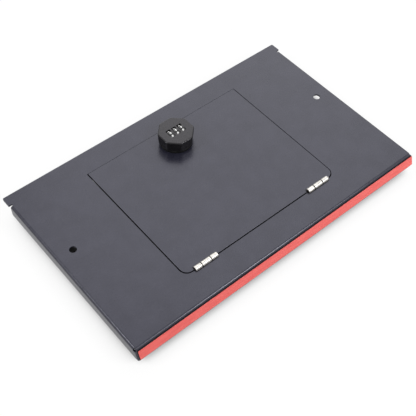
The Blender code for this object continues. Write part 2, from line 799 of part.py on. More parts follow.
def make_lock_body(lock):
    """The fixed flange and barrel, with the bolt's notches and the stop wall at the barrel's end."""
    bore = STEM_RADIUS + SEAT_GAP
    wall_end = BARREL_END - STOP_WALL_HEIGHT
    profile = [
        (RECESS_RADIUS, FLANGE_TOP),
        (FLANGE_RADIUS - FLANGE_ROUND, FLANGE_TOP),
        (FLANGE_RADIUS, FLANGE_TOP - FLANGE_ROUND),
        (FLANGE_RADIUS, FLANGE_BASE),
        (BARREL_RADIUS, FLANGE_BASE),
        (BARREL_RADIUS, wall_end),
        (STOP_WALL_INNER, wall_end),
        (STOP_WALL_INNER, BARREL_END),
        (bore, BARREL_END),
        (bore, FLANGE_BASE + RECESS_FLOOR),
        (RECESS_RADIUS, FLANGE_BASE + RECESS_FLOOR),
    ]
    body = part("lock_body", profile_mesh("lock_body", closed_profile(profile)), BLACK_CAST, lock)
    turn(body, ROUND_STEPS)
    half_flats = BARREL_FLATS / 2
    for side in (-1, 1):
        near = side * half_flats
        far = side * (BARREL_RADIUS + OVERRUN)
        low = (min(near, far), -BARREL_RADIUS, wall_end - OVERRUN)
        high = (max(near, far), BARREL_RADIUS, FLANGE_BASE)
        combine(body, "DIFFERENCE", helper(f"barrel_flat_{side}", box_mesh("flat", low, high), lock))
    for quarter_turn in range(4):
        low = (-NOTCH_WIDTH / 2, RECESS_RADIUS - OVERRUN, FLANGE_TOP - BOLT_TRAVEL)
        high = (NOTCH_WIDTH / 2, NOTCH_OUTER, FLANGE_TOP + OVERRUN)
        angle = (0, 0, quarter_turn * math.pi / 2)
        notch = helper(f"bolt_notch_{quarter_turn}", box_mesh("notch", low, high), lock, rotation=angle)
        combine(body, "DIFFERENCE", notch)
    combine(body, "DIFFERENCE", helper("stop_gap", stop_gap_mesh(), lock))


def stop_gap_mesh():
    """The sector cut from the barrel's end wall, in which the stop washer's ear swings."""
    centre, half = ear_centre(), EAR_HALF_ANGLE + EAR_CLEARANCE
    start = centre - KNOB_TURN - half
    sweep = KNOB_TURN + 2 * half
    outer = BARREL_RADIUS + OVERRUN
    spokes = [start + sweep * step / SMALL_STEPS for step in range(SMALL_STEPS + 1)]
    inner_edge = STOP_WALL_INNER - OVERRUN
    loop = [Vector((outer * math.cos(a), outer * math.sin(a))) for a in spokes]
    loop += [Vector((inner_edge * math.cos(a), inner_edge * math.sin(a))) for a in reversed(spokes)]
    mesh = flat_mesh("stop_gap", [loop], STOP_WALL_HEIGHT + OVERRUN)
    for vert in mesh.vertices:
        vert.co.z += BARREL_END - STOP_WALL_HEIGHT - OVERRUN
    return mesh


def ear_centre():
    """Where the stop washer's ear points with the lock open: along the cam."""
    return math.pi


def make_lock_fastening(lock):
    """The toothed washer and the nut that clamp the lock to the door."""
    hole = circle(0, 0, BARREL_RADIUS + SEAT_GAP, ROUND_STEPS)
    washer_top = UNDERSIDE - SEAT_GAP
    washer_edge = toothed(LOCK_WASHER_RADIUS, LOCK_WASHER_TOOTH, LOCK_WASHER_TEETH)
    washer = flat_mesh("lock_washer", [washer_edge, hole], LOCK_WASHER_THICKNESS)
    part("lock_washer", washer, ZINC, lock, (0, 0, washer_top - LOCK_WASHER_THICKNESS))
    nut_top = washer_top - LOCK_WASHER_THICKNESS - SEAT_GAP
    corner_radius = NUT_FLATS / 2 / math.cos(math.pi / 6)
    hexagon = circle(0, 0, corner_radius, 6)
    mesh = flat_mesh("lock_nut", [hexagon, hole], NUT_THICKNESS)
    nut = part("lock_nut", mesh, ZINC, lock, (0, 0, nut_top - NUT_THICKNESS))
    rim = profile_mesh("nut_cone", nut_cone(corner_radius))
    combine(nut, "INTERSECT", turn(helper("nut_cone", rim, lock, (0, 0, nut_top)), ROUND_STEPS))


def nut_cone(corner_radius):
    """The turned blank that takes a nut's corners off."""
    narrow = corner_radius - NUT_CHAMFER
    wide = corner_radius + OVERRUN
    slope = NUT_CHAMFER + OVERRUN
    return [
        (0, OVERRUN),
        (narrow - OVERRUN, OVERRUN),
        (wide, OVERRUN - slope),
        (wide, -NUT_THICKNESS - OVERRUN + slope),
        (narrow - OVERRUN, -NUT_THICKNESS - OVERRUN),
        (0, -NUT_THICKNESS - OVERRUN),
    ]


def windows():
    """The middles of the number wheels across the knob."""
    return [(index - 1) * WHEEL_PITCH for index in range(len(WHEEL_NAMES))]


def make_housing(knob):
    """The eight-sided housing, hollow, with a window for each wheel and bosses for its screws."""
    to_corner = 1 / math.cos(math.pi / KNOB_SIDES)
    top_radius = KNOB_FLATS / 2 * to_corner
    base_radius = KNOB_BASE_FLATS / 2 * to_corner
    profile = [
        (0, KNOB_TOP),
        (top_radius - KNOB_CHAMFER, KNOB_TOP),
        (top_radius, KNOB_TOP - KNOB_CHAMFER),
        (base_radius, ROTOR_BASE),
        (0, ROTOR_BASE),
    ]
    turned_flat = (0, 0, math.pi / KNOB_SIDES)
    mesh = profile_mesh("knob_housing", profile)
    housing = part("knob_housing", mesh, BLACK_CAST, knob, rotation=turned_flat)
    turn(housing, KNOB_SIDES)
    bevel = housing.modifiers.new("edges", "BEVEL")
    bevel.width = KNOB_EDGE
    bevel.segments = 2
    bevel.limit_method = "ANGLE"
    bevel.angle_limit = math.radians(30)
    roof = KNOB_TOP - KNOB_ROOF
    cavity = disc_mesh("cavity", KNOB_CAVITY_RADIUS, ROTOR_BASE - OVERRUN, roof)
    combine(housing, "DIFFERENCE", helper("knob_cavity", cavity, knob))
    half_width = WHEEL_WIDTH / 2 + SEAT_GAP
    half_length = WINDOW_LENGTH / 2
    for name, middle in zip(WHEEL_NAMES, windows()):
        loop = rectangle(
            middle - half_width, -half_length, middle + half_width, half_length, WINDOW_CORNER
        )
        cut = flat_mesh("window", [loop], KNOB_ROOF + 2 * OVERRUN)
        window = helper(f"window_{name}", cut, knob, (0, 0, roof - OVERRUN))
        combine(housing, "DIFFERENCE", window)
    for degrees in BOSS_ANGLES:
        x, y = boss_place(degrees)
        boss = disc_mesh("boss", BOSS_RADIUS, ROTOR_TOP + SEAT_GAP, roof + OVERRUN / 2, SMALL_STEPS)
        combine(housing, "UNION", helper(f"boss_{degrees}", boss, knob, (x, y, 0)))
        hole_top = ROTOR_BASE + KNOB_SCREW_LENGTH + SEAT_GAP
        hole = disc_mesh("hole", KNOB_SCREW_RADIUS + SEAT_GAP, ROTOR_BASE, hole_top, SMALL_STEPS)
        combine(housing, "DIFFERENCE", helper(f"boss_hole_{degrees}", hole, knob, (x, y, 0)))


def boss_place(degrees):
    angle = math.radians(degrees)
    return BOSS_PLACE * math.cos(angle), BOSS_PLACE * math.sin(angle)


def screw_profile(clearance):
    """A countersunk screw's half section, or with a clearance the hole that it sits in."""
    bottom = ROTOR_BASE + SEAT_GAP - clearance
    head = KNOB_SCREW_HEAD + clearance
    shank = KNOB_SCREW_RADIUS + clearance
    top = ROTOR_BASE + KNOB_SCREW_LENGTH + clearance
    neck = bottom + KNOB_SCREW_HEAD - KNOB_SCREW_RADIUS
    below = bottom - (OVERRUN if clearance else 0)
    return [(0, top), (shank, top), (shank, neck), (head, bottom), (head, below), (0, below)]


def comb_edges():
    """Where the bolt's fingers lie across the knob: one beside each wheel, under its sleeve's collar."""
    offset = WHEEL_WIDTH / 2 + SEAT_GAP + COLLAR_THICKNESS / 2
    middles = [middle + offset for middle in windows()]
    return [(middle - FINGER_WIDTH / 2, middle + FINGER_WIDTH / 2) for middle in middles]


def finger_front():
    """How far forward the bolt's fingers reach."""
    return -COLLAR_THICKNESS


def comb_corners():
    """The bolt seen from above: fingers to the front of a bar, and a tongue behind it."""
    fingers = comb_edges()
    tongue_half = TONGUE_WIDTH / 2
    back = BOLT_BAR_BACK + BOLT_BAR_DEPTH
    corners = []
    for index, (left, right) in enumerate(fingers):
        if index:
            corners.append((left, BOLT_BAR_BACK, 0))
        corners += [(left, finger_front(), 0), (right, finger_front(), 0)]
        if index < len(fingers) - 1:
            corners.append((right, BOLT_BAR_BACK, 0))
    return corners + [
        (fingers[-1][1], back, 0),
        (tongue_half, back, 0),
        (tongue_half, TONGUE_BACK + TONGUE_THICKNESS, 0),
        (-tongue_half, TONGUE_BACK + TONGUE_THICKNESS, 0),
        (-tongue_half, back, 0),
        (fingers[0][0], back, 0),
    ]


def pocket_corners():
    """The opening in the rotor that the wheels dip into and the bolt moves in."""
    fingers = comb_edges()
    wheels_low = windows()[0] - WHEEL_WIDTH / 2 - SEAT_GAP
    bar_low = fingers[0][0] - SEAT_GAP
    high = fingers[-1][1] + SEAT_GAP
    dip = math.sqrt(WHEEL_RADIUS**2 - (AXLE_HEIGHT - ROTOR_TOP) ** 2) + SEAT_GAP
    back = BOLT_BAR_BACK + BOLT_BAR_DEPTH + SEAT_GAP
    tongue_half = TONGUE_WIDTH / 2 + SEAT_GAP
    tongue_end = TONGUE_BACK + TONGUE_THICKNESS + SEAT_GAP
    return [
        (wheels_low, -dip, 0),
        (high, -dip, 0),
        (high, back, 0),
        (tongue_half, back, 0),
        (tongue_half, tongue_end, 0),
        (-tongue_half, tongue_end, 0),
        (-tongue_half, back, 0),
        (bar_low, back, 0),
        (bar_low, dip, 0),
        (wheels_low, dip, 0),
    ]


def make_rotor(knob):
    """The plate, axle posts, spindle and square end that turn with the knob, as one casting."""
    plate_radius = KNOB_CAVITY_RADIUS - SEAT_GAP
    head_radius = RECESS_RADIUS - SEAT_GAP
    head_bottom = FLANGE_BASE + RECESS_FLOOR + SEAT_GAP
    square_top = BARREL_END + OVERRUN
    profile = [
        (0, ROTOR_TOP),
        (plate_radius, ROTOR_TOP),
        (plate_radius, ROTOR_BASE),
        (head_radius, ROTOR_BASE),
        (head_radius, head_bottom),
        (STEM_RADIUS, head_bottom),
        (STEM_RADIUS, square_top),
        (0, square_top),
    ]
    rotor = part("knob_rotor", profile_mesh("knob_rotor", profile), ZINC, knob)
    turn(rotor, ROUND_STEPS)
    pocket_height = ROTOR_TOP - FLANGE_TOP + OVERRUN
    pocket_mesh = flat_mesh("pocket", [outline(pocket_corners())], pocket_height)
    pocket = helper("rotor_pocket", pocket_mesh, knob, (0, 0, FLANGE_TOP))
    combine(rotor, "DIFFERENCE", pocket)
    half = SQUARE / 2
    square_end = CAM_BOTTOM + SEAT_GAP
    tang = box_mesh("tang", (-half, -half, square_end), (half, half, square_top + OVERRUN))
    combine(rotor, "UNION", helper("tang", tang, knob))
    for side in (-1, 1):
        combine(rotor, "UNION", helper(f"post_{side}", post_mesh(side), knob))
    hole_radius = SCREW_RADIUS + SEAT_GAP
    hole_top = SCREW_SEAT + SCREW_LENGTH + SEAT_GAP
    hole = disc_mesh("hole", hole_radius, square_end - OVERRUN, hole_top, SMALL_STEPS)
    combine(rotor, "DIFFERENCE", helper("spindle_hole", hole, knob))
    for degrees in BOSS_ANGLES:
        x, y = boss_place(degrees)
        cone = profile_mesh("countersink", screw_profile(SEAT_GAP))
        sink = turn(helper(f"countersink_{degrees}", cone, knob, (x, y, 0)), SMALL_STEPS)
        combine(rotor, "DIFFERENCE", sink)


def post_face():
    """The inner face of the posts that hold the axle, clear of the last sleeve's collar."""
    collar_end = windows()[-1] + WHEEL_WIDTH / 2 + SEAT_GAP + COLLAR_THICKNESS
    return collar_end + SEAT_GAP


def post_mesh(side):
    """An axle post with a round top, seen along the axle, and the hole through it."""
    half = POST_WIDTH / 2
    top = AXLE_HEIGHT + half
    arch = [(-half, ROTOR_BASE + SEAT_GAP, 0), (half, ROTOR_BASE + SEAT_GAP, 0)]
    arch += [(half, top, half - SEAT_GAP), (-half, top, half - SEAT_GAP)]
    hole = circle(0, AXLE_HEIGHT, AXLE_RADIUS + SEAT_GAP, SMALL_STEPS)
    mesh = flat_mesh("post", [outline(arch), hole], POST_THICKNESS)
    face = post_face() if side > 0 else -post_face() - POST_THICKNESS
    for vert in mesh.vertices:
        vert.co = (face + vert.co.z, vert.co.x, vert.co.y)
    return mesh


def wheel_outline():
    """A number wheel's edge: shallow grooves between flat-topped digits, a digit uppermost."""
    points = []
    for digit in range(WHEEL_DIGITS):
        middle = math.pi / 2 + 2 * math.pi * digit / WHEEL_DIGITS
        half = math.pi / WHEEL_DIGITS - GROOVE_HALF_ANGLE
        for step in range(FACETS_PER_DIGIT):
            angle = middle - half + 2 * half * step / (FACETS_PER_DIGIT - 1)
            points.append(Vector((WHEEL_RADIUS * math.cos(angle), WHEEL_RADIUS * math.sin(angle))))
        angle = middle + math.pi / WHEEL_DIGITS
        depth = WHEEL_RADIUS - WHEEL_GROOVE
        points.append(Vector((depth * math.cos(angle), depth * math.sin(angle))))
    return points


def along_x(mesh, start):
    """Lays a flat mesh's thickness along X from a start, its outline's second axis up."""
    for vert in mesh.vertices:
        vert.co = (start + vert.co.z, vert.co.x, vert.co.y)
    return mesh


def make_wheels(knob):
    """The axle, and on it the number wheels with their code sleeves."""
    axle_pivot = pivot("axle_line", knob, (0, 0, AXLE_HEIGHT))
    half = post_face() + POST_THICKNESS
    axle_mesh = disc_mesh("axle", AXLE_RADIUS, -half, half, SMALL_STEPS)
    part("wheel_axle", axle_mesh, SPRING_STEEL, axle_pivot, rotation=(0, math.pi / 2, 0))
    bore = circle(0, 0, SLEEVE_RADIUS + SEAT_GAP, SMALL_STEPS)
    sleeve_bore = circle(0, 0, AXLE_RADIUS + SEAT_GAP, SMALL_STEPS)
    for name, middle in zip(WHEEL_NAMES, windows()):
        wheel_pivot = pivot(f"wheel_turn_{name}", axle_pivot, (middle, 0, 0))
        wheel = along_x(flat_mesh("wheel", [wheel_outline(), bore], WHEEL_WIDTH), -WHEEL_WIDTH / 2)
        part(f"number_wheel_{name}", wheel, BLACK_WHEEL, wheel_pivot)
        tube_edge = circle(0, 0, SLEEVE_RADIUS, SMALL_STEPS)
        tube_length = WHEEL_WIDTH + SEAT_GAP + COLLAR_THICKNESS
        tube = along_x(flat_mesh("sleeve", [tube_edge, sleeve_bore], tube_length), -WHEEL_WIDTH / 2)
        sleeve = part(f"code_sleeve_{name}", tube, BRASS, wheel_pivot)
        collar_start = WHEEL_WIDTH / 2 + SEAT_GAP
        collar = along_x(
            flat_mesh("collar", [gated_collar(), sleeve_bore], COLLAR_THICKNESS), collar_start
        )
        combine(sleeve, "UNION", helper(f"collar_{name}", collar, wheel_pivot))


def gated_collar():
    """A collar with the flat under it that lets the bolt up when its digit is set."""
    reach = math.acos(COLLAR_GATE / COLLAR_RADIUS)
    start = -math.pi / 2 + reach
    sweep = 2 * math.pi - 2 * reach
    angles = [start + sweep * step / ROUND_STEPS for step in range(ROUND_STEPS + 1)]
    return [Vector((COLLAR_RADIUS * math.cos(a), COLLAR_RADIUS * math.sin(a))) for a in angles]


def bolt_bottom():
    """The height of the raised bolt's comb, just under the sleeves' collars."""
    return AXLE_HEIGHT - COLLAR_RADIUS - SEAT_GAP - BOLT_THICKNESS


def make_bolt(knob):
    """The comb-shaped bolt whose tongue drops into a notch of the lock body's flange."""
    guide = pivot("bolt_guide", knob, (0, 0, bolt_bottom()))
    comb = flat_mesh("locking_bolt", [outline(comb_corners())], BOLT_THICKNESS)
    bolt = part("locking_bolt", comb, BRASS, guide)
    half = TONGUE_WIDTH / 2 - TONGUE_SHOULDER
    tip = ROTOR_BASE - bolt_bottom()
    low = (-half, TONGUE_BACK, tip)
    high = (half, TONGUE_BACK + TONGUE_THICKNESS - TONGUE_SHOULDER, BOLT_THICKNESS / 2)
    combine(bolt, "UNION", helper("bolt_tongue", box_mesh("tongue", low, high), guide))


def make_springs(knob):
    """The arched leaf that lifts the bolt, and the three-fingered leaf that clicks the wheels."""
    foot = FLANGE_TOP + SEAT_GAP + SPRING_SHEET / 2
    crown = bolt_bottom() - SEAT_GAP - SPRING_SHEET / 2
    half = BOLT_SPRING_SPAN / 2
    arch = []
    for step in range(ARC_STEPS * 2 + 1):
        share = step / (ARC_STEPS * 2)
        height = foot + (crown - foot) * math.sin(math.pi * share)
        arch.append(Vector((-half + 2 * half * share, height)))
    width = BOLT_SPRING_WIDTH / 2
    mesh = strip_mesh("bolt_spring", arch, -width, width, [], len(arch))
    back = BOLT_BAR_BACK + BOLT_BAR_DEPTH / 2
    quarter_left = (0, 0, -math.pi / 2)
    spring = part("bolt_spring", mesh, SPRING_STEEL, knob, (BOLT_SPRING_ASIDE, back, 0), quarter_left)
    centre_thickness(spring, SPRING_SHEET)
    tip_reach = WHEEL_RADIUS + SEAT_GAP + SPRING_SHEET
    base = ROTOR_TOP + SEAT_GAP + SPRING_SHEET / 2
    finger_start = tip_reach + DETENT_LEAN
    path = [
        Vector((-finger_start - DETENT_FOOT, base)),
        Vector((-finger_start, base)),
        Vector((-tip_reach, base + DETENT_RISE)),
    ]
    middles = windows()
    fingers = [(m - DETENT_WIDTH / 2, m + DETENT_WIDTH / 2) for m in middles]
    mesh = strip_mesh("detent_spring", path, fingers[0][0], fingers[-1][1], fingers, 2)
    detent = part("detent_spring", mesh, SPRING_STEEL, knob)
    centre_thickness(detent, SPRING_SHEET)


def make_knob_screws(knob):
    """The countersunk screws that hold the rotor in the housing."""
    for number, degrees in enumerate(BOSS_ANGLES, start=1):
        x, y = boss_place(degrees)
        mesh = profile_mesh("knob_screw", screw_profile(0))
        screw = part(f"knob_screw_{number}", mesh, ZINC, knob, (x, y, 0))
        turn(screw, SMALL_STEPS)


def eared_outline():
    """The stop washer's edge: a disc with one ear towards the cam's tip."""
    points = []
    round_start = ear_centre() + EAR_HALF_ANGLE
    round_sweep = 2 * math.pi - 2 * EAR_HALF_ANGLE
    for step in range(ROUND_STEPS + 1):
        angle = round_start + round_sweep * step / ROUND_STEPS
        reach = STOP_WASHER_RADIUS
        points.append(Vector((reach * math.cos(angle), reach * math.sin(angle))))
    for step in range(ARC_STEPS + 1):
        angle = ear_centre() - EAR_HALF_ANGLE + 2 * EAR_HALF_ANGLE * step / ARC_STEPS
        points.append(Vector((EAR_RADIUS * math.cos(angle), EAR_RADIUS * math.sin(angle))))
    return points


def cam_outline():
    """The cam seen from above, its pivot round and its arm to the left."""
    half = CAM_WIDTH / 2
    tip = CAM_TIP_WIDTH / 2
    arm = [
        (-CAM_REACH, -tip, CAM_CORNER),
        (-half / 2, -half, 0),
    ]
    end = [
        (half * math.cos(angle), half * math.sin(angle), 0)
        for angle in (math.radians(-75 + 15 * step) for step in range(11))
    ]
    return outline(arm + end + [(-half / 2, half, 0), (-CAM_REACH, tip, CAM_CORNER)])


def make_cam(knob):
    """The stop washer, the cam and the toothed washer and screw that hold them on the square."""
    half = SQUARE / 2 + SEAT_GAP
    square_hole = rectangle(-half, -half, half, half)
    stop = flat_mesh("stop_washer", [eared_outline(), square_hole], STOP_WASHER_THICKNESS)
    part("stop_washer", stop, ZINC, knob, (0, 0, STOP_WASHER_TOP - STOP_WASHER_THICKNESS))
    cam = flat_mesh("cam", [cam_outline(), square_hole], CAM_THICKNESS)
    part("cam", cam, ZINC, knob, (0, 0, CAM_BOTTOM))
    washer_edge = toothed(CAM_WASHER_RADIUS, CAM_WASHER_TOOTH, CAM_WASHER_TEETH)
    washer_hole = circle(0, 0, SCREW_RADIUS + SEAT_GAP, SMALL_STEPS)
    washer = flat_mesh("cam_washer", [washer_edge, washer_hole], CAM_WASHER_THICKNESS)
    part("cam_washer", washer, ZINC, knob, (0, 0, CAM_WASHER_TOP - CAM_WASHER_THICKNESS))
    bottom = -SCREW_HEAD_HEIGHT
    profile = [
        (0, SCREW_LENGTH),
        (SCREW_RADIUS, SCREW_LENGTH),
        (SCREW_RADIUS, 0),
        (SCREW_HEAD_RADIUS, 0),
        (SCREW_HEAD_RADIUS, bottom + SCREW_HEAD_ROUND),
        (SCREW_HEAD_RADIUS - SCREW_HEAD_ROUND, bottom),
        (0, bottom),
    ]
    screw = part("cam_screw", profile_mesh("cam_screw", profile), ZINC, knob, (0, 0, SCREW_SEAT))
    turn(screw, SMALL_STEPS)


def settle_shapes():
    """Fixes every sub-part's finished shape, smooth where it is round and sharp at its edges."""
    bpy.context.view_layer.update()
    graph = bpy.context.evaluated_depsgraph_get()
    shapes = {}
    for obj in PARTS.objects:
        if obj.type == "MESH":
            shapes[obj] = bpy.data.meshes.new_from_object(obj.evaluated_get(graph))
    for obj, mesh in shapes.items():
        obj.modifiers.clear()
        obj.data = mesh
        mesh.shade_smooth()
        mesh.set_sharp_from_angle(angle=SMOOTH_ANGLE)
        flat_faces_first = obj.modifiers.new("flat_faces_first", "WEIGHTED_NORMAL")
        flat_faces_first.keep_sharp = True


def main():
    frame = pivot("cover_top_front", location=(0, FRONT_EDGE, COVER_HEIGHT))
    make_cover(frame)
    make_tape(frame)
    make_keeper(frame)
    hinge_line = (0, DOOR_LINE, PIVOT_RISE)
    cover_pivot = pivot("hinge_line", frame, hinge_line)
    door_pivot = pivot("door_turn", frame, hinge_line)
    for side, middle in zip(("left", "right"), hinge_places()):
        make_hinge(side, middle, cover_pivot, door_pivot)
    make_door(door_pivot)
    lock = pivot("lock_centre", door_pivot, (0, LOCK_BACK, -PIVOT_RISE))
    make_lock_body(lock)
    make_lock_fastening(lock)
    knob = pivot("knob_turn", lock)
    make_housing(knob)
    make_rotor(knob)
    make_wheels(knob)
    make_bolt(knob)
    make_springs(knob)
    make_knob_screws(knob)
    make_cam(knob)
    settle_shapes()


main()
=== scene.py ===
"""The looks of a lockable steel bin cover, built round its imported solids."""

import json
import math

import bmesh
import bpy
from mathutils import Matrix, Vector


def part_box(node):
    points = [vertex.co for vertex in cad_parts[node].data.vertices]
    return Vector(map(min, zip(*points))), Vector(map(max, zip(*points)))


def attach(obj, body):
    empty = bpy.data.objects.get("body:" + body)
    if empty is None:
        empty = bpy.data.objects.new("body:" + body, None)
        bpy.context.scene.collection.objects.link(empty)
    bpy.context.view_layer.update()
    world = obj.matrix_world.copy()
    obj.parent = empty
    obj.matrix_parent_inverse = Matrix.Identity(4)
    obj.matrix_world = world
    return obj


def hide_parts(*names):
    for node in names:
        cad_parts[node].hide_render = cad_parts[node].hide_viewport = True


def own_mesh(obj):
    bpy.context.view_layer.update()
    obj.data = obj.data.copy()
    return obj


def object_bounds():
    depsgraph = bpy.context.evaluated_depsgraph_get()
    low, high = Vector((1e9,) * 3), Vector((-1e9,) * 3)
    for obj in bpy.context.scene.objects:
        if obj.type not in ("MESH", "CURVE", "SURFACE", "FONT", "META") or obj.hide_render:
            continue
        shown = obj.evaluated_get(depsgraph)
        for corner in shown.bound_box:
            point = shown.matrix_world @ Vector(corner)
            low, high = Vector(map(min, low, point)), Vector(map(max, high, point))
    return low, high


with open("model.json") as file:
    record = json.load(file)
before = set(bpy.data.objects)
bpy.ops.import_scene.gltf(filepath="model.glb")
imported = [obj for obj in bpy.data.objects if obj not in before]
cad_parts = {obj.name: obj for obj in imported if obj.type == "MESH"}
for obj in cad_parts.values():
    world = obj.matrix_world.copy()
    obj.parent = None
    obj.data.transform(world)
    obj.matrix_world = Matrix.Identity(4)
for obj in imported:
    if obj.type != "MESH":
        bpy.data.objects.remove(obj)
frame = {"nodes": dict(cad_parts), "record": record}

CAD_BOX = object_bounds()
MM = 0.001
WELD = 0.001 * MM

# Camera, solved from the photograph's straight edges. The image width and the focal length are in pixels,
# the sensor's width in millimetres
IMAGE_WIDTH = 416
FOCAL_PIXELS = 806.7
SENSOR_WIDTH = 36.0
CAMERA_PLACE = (-368.2 * MM, -408.48 * MM, 690.9 * MM)
CAMERA_RIGHT = (0.7664, -0.6420, 0.0194)
CAMERA_FORWARD = (0.4009, 0.4546, -0.7953)

# Light: each lamp's direction, size and brightness. The sky alone lights white paper to WORLD_STRENGTH
LAMP_DISTANCE = 1.5
WORLD_STRENGTH = 0.42
LAMPS = {
    "key": ((0.45, 0.50, 0.74), 1.30, 1.58),
    "front": ((0.34, -0.65, 0.68), 0.42, 18.5),
    "side": ((-0.66, 0.30, 0.69), 0.36, 22.0),
}

# Floor: its colour, the share of real shadow in it, the colour of the shadow painted under the object, and
# how open to the sky it is where the painted shadow is full and where it turns fully pale
FLOOR_HALF = 6.0
FLOOR_COLOUR = (0.93, 0.93, 0.93, 1.0)
SHADOW_SHARE = 0.11
PAINTED_SHADOW_COLOUR = (0.12, 0.12, 0.12, 1.0)
COVERED_REACH = 60 * MM
COVERED_SHARE = 0.20
OPEN_SHARE = 0.72

# The standard curve from an 8-bit colour value to light: straight in its darkest part, a power above it
FULL_VALUE = 255
CURVE_START = 0.04045
START_SLOPE = 12.92
CURVE_OFFSET = 0.055
CURVE_POWER = 2.4

# Node materials: white, the parts of a noise's range that patches and roughness use, and the colour
# sockets of a Mix node, which share their names with its number sockets
WHITE = (1.0, 1.0, 1.0, 1.0)
PATCH_ENDS = (0.35, 0.65)
ROUGH_ENDS = (0.3, 0.7)
MIX_MASK, MIX_LOW, MIX_HIGH, MIX_RESULT = 0, 6, 7, 2

# Edges of the pieces, and how flat a face lies whose normal has a smaller upright share
SHARP_ANGLE = math.radians(35)
FLAT_ANGLE = math.radians(0.3)
BEVEL_STEPS = 3
FLAT_FIRST_WEIGHT = 100
LEVEL_SHARE = 0.5

# Knob: its eight corners rounded off. An upright plane through its axis cuts two opposite corners, its skin
# is what lies nearest its widest outline, and the middle of a corner is the corner's own points
EIGHTH = math.pi / 4
CORNER_PAIRS = 4
CORNER_ROUND = 4.5 * MM
CORNER_CUT_SHARES = (-1, -0.75, -0.5, 0.5, 0.75, 1)
CORNER_MIDDLE = math.radians(0.6)
KNOB_SKIN = 1.4 * MM

# Digits on the number wheels
DIGIT_COUNT = 10
TOP_DIGIT = 9
DIGIT_HEIGHT = 2.9 * MM
DIGIT_WIDTH = 2.5 * MM
DIGIT_BOLD_SHARE = 0.045
DIGIT_CURVE_STEPS = 6
DIGIT_PROUD = 0.03 * MM
DIGIT_SINK = 0.10 * MM

# Thread on the lock's barrel: from below the door to near the barrel's end, cut away at the two flats
THREAD_PITCH = 1.0 * MM
THREAD_ROOT = 8.95 * MM
THREAD_CREST = 9.20 * MM
THREAD_HALF_WIDTH = 0.40 * MM
THREAD_STEPS = 72
FLAT_REACH = 7.95 * MM
BARREL_END = 2.6 * MM

# Nut: six-sided, its corners turned off at 30 degrees
SIXTH = math.pi / 3
NUT_STEPS = 96
NUT_FACE_SHARE = 0.97
NUT_CHAMFER = math.radians(30)
NUT_RINGS = 4

# Cross recess in the cam's screw
RECESS_ARMS = 4
RECESS_LENGTH = 4.6 * MM
RECESS_WIDTH = 1.1 * MM
RECESS_DEPTH = 1.5 * MM
RECESS_TAPER_SHARE = 0.55

# Hinges: the height at which the bare knuckles turn into leaves painted dark in the sheets' coat colour as
# the shade they lie in, and the splits between knuckles, where bands of shade are painted dark
SHADE_LINE = 23.7 * MM
SHADE_FADE = 0.25 * MM
SPLITS = (71.45 * MM, 83.05 * MM)
SPLIT_HALF = 0.55 * MM
SPLIT_FADE = 0.08 * MM

# The opening's rim as the photograph shows it: closer to the door at its rear and right, further off at
# its front and left. The shifts fade out along the arcs of the corners
REAR_RIM_IN = 0.75 * MM
RIGHT_RIM_IN = 0.30 * MM
FRONT_RIM_OUT = 0.35 * MM
LEFT_RIM_OUT = 0.40 * MM
RIM_FADE = 8.5 * MM
RIM_SEARCH = 2.0 * MM


def linear(value):
    """A share of full brightness from an 8-bit colour value."""
    share = value / FULL_VALUE
    if share <= CURVE_START:
        return share / START_SLOPE
    return ((share + CURVE_OFFSET) / (1 + CURVE_OFFSET)) ** CURVE_POWER


def colour(red, green, blue):
    """A colour for a node from its 8-bit values."""
    return (linear(red), linear(green), linear(blue), 1.0)


def wired(tree, kind, inputs, **settings):
    """A new node with its settings, and its inputs linked to sockets or set to plain values."""
    node = tree.nodes.new(kind)
    for name, value in settings.items():
        setattr(node, name, value)
    for name, source in inputs.items():
        if isinstance(source, bpy.types.NodeSocket):
            tree.links.new(source, node.inputs[name])
        else:
            node.inputs[name].default_value = source
    return node


def calculated(tree, operation, *values):
    """A number worked out from sockets and plain numbers."""
    return wired(tree, "ShaderNodeMath", dict(enumerate(values)), operation=operation).outputs["Value"]


def ranged(tree, source, ends, results=(0.0, 1.0)):
    """A number that goes from the first result to the second as the source goes from end to end."""
    inputs = {"Value": source, "From Min": ends[0], "From Max": ends[1]}
    inputs.update({"To Min": results[0], "To Max": results[1]})
    return wired(tree, "ShaderNodeMapRange", inputs).outputs["Result"]


def toned(tree, source, ends, low, high):
    """A colour that goes from low to high as the source goes from end to end."""
    node = wired(tree, "ShaderNodeValToRGB", {"Fac": source})
    first, last = node.color_ramp.elements
    first.position, last.position = ends
    first.color, last.color = low, high
    return node.outputs["Color"]


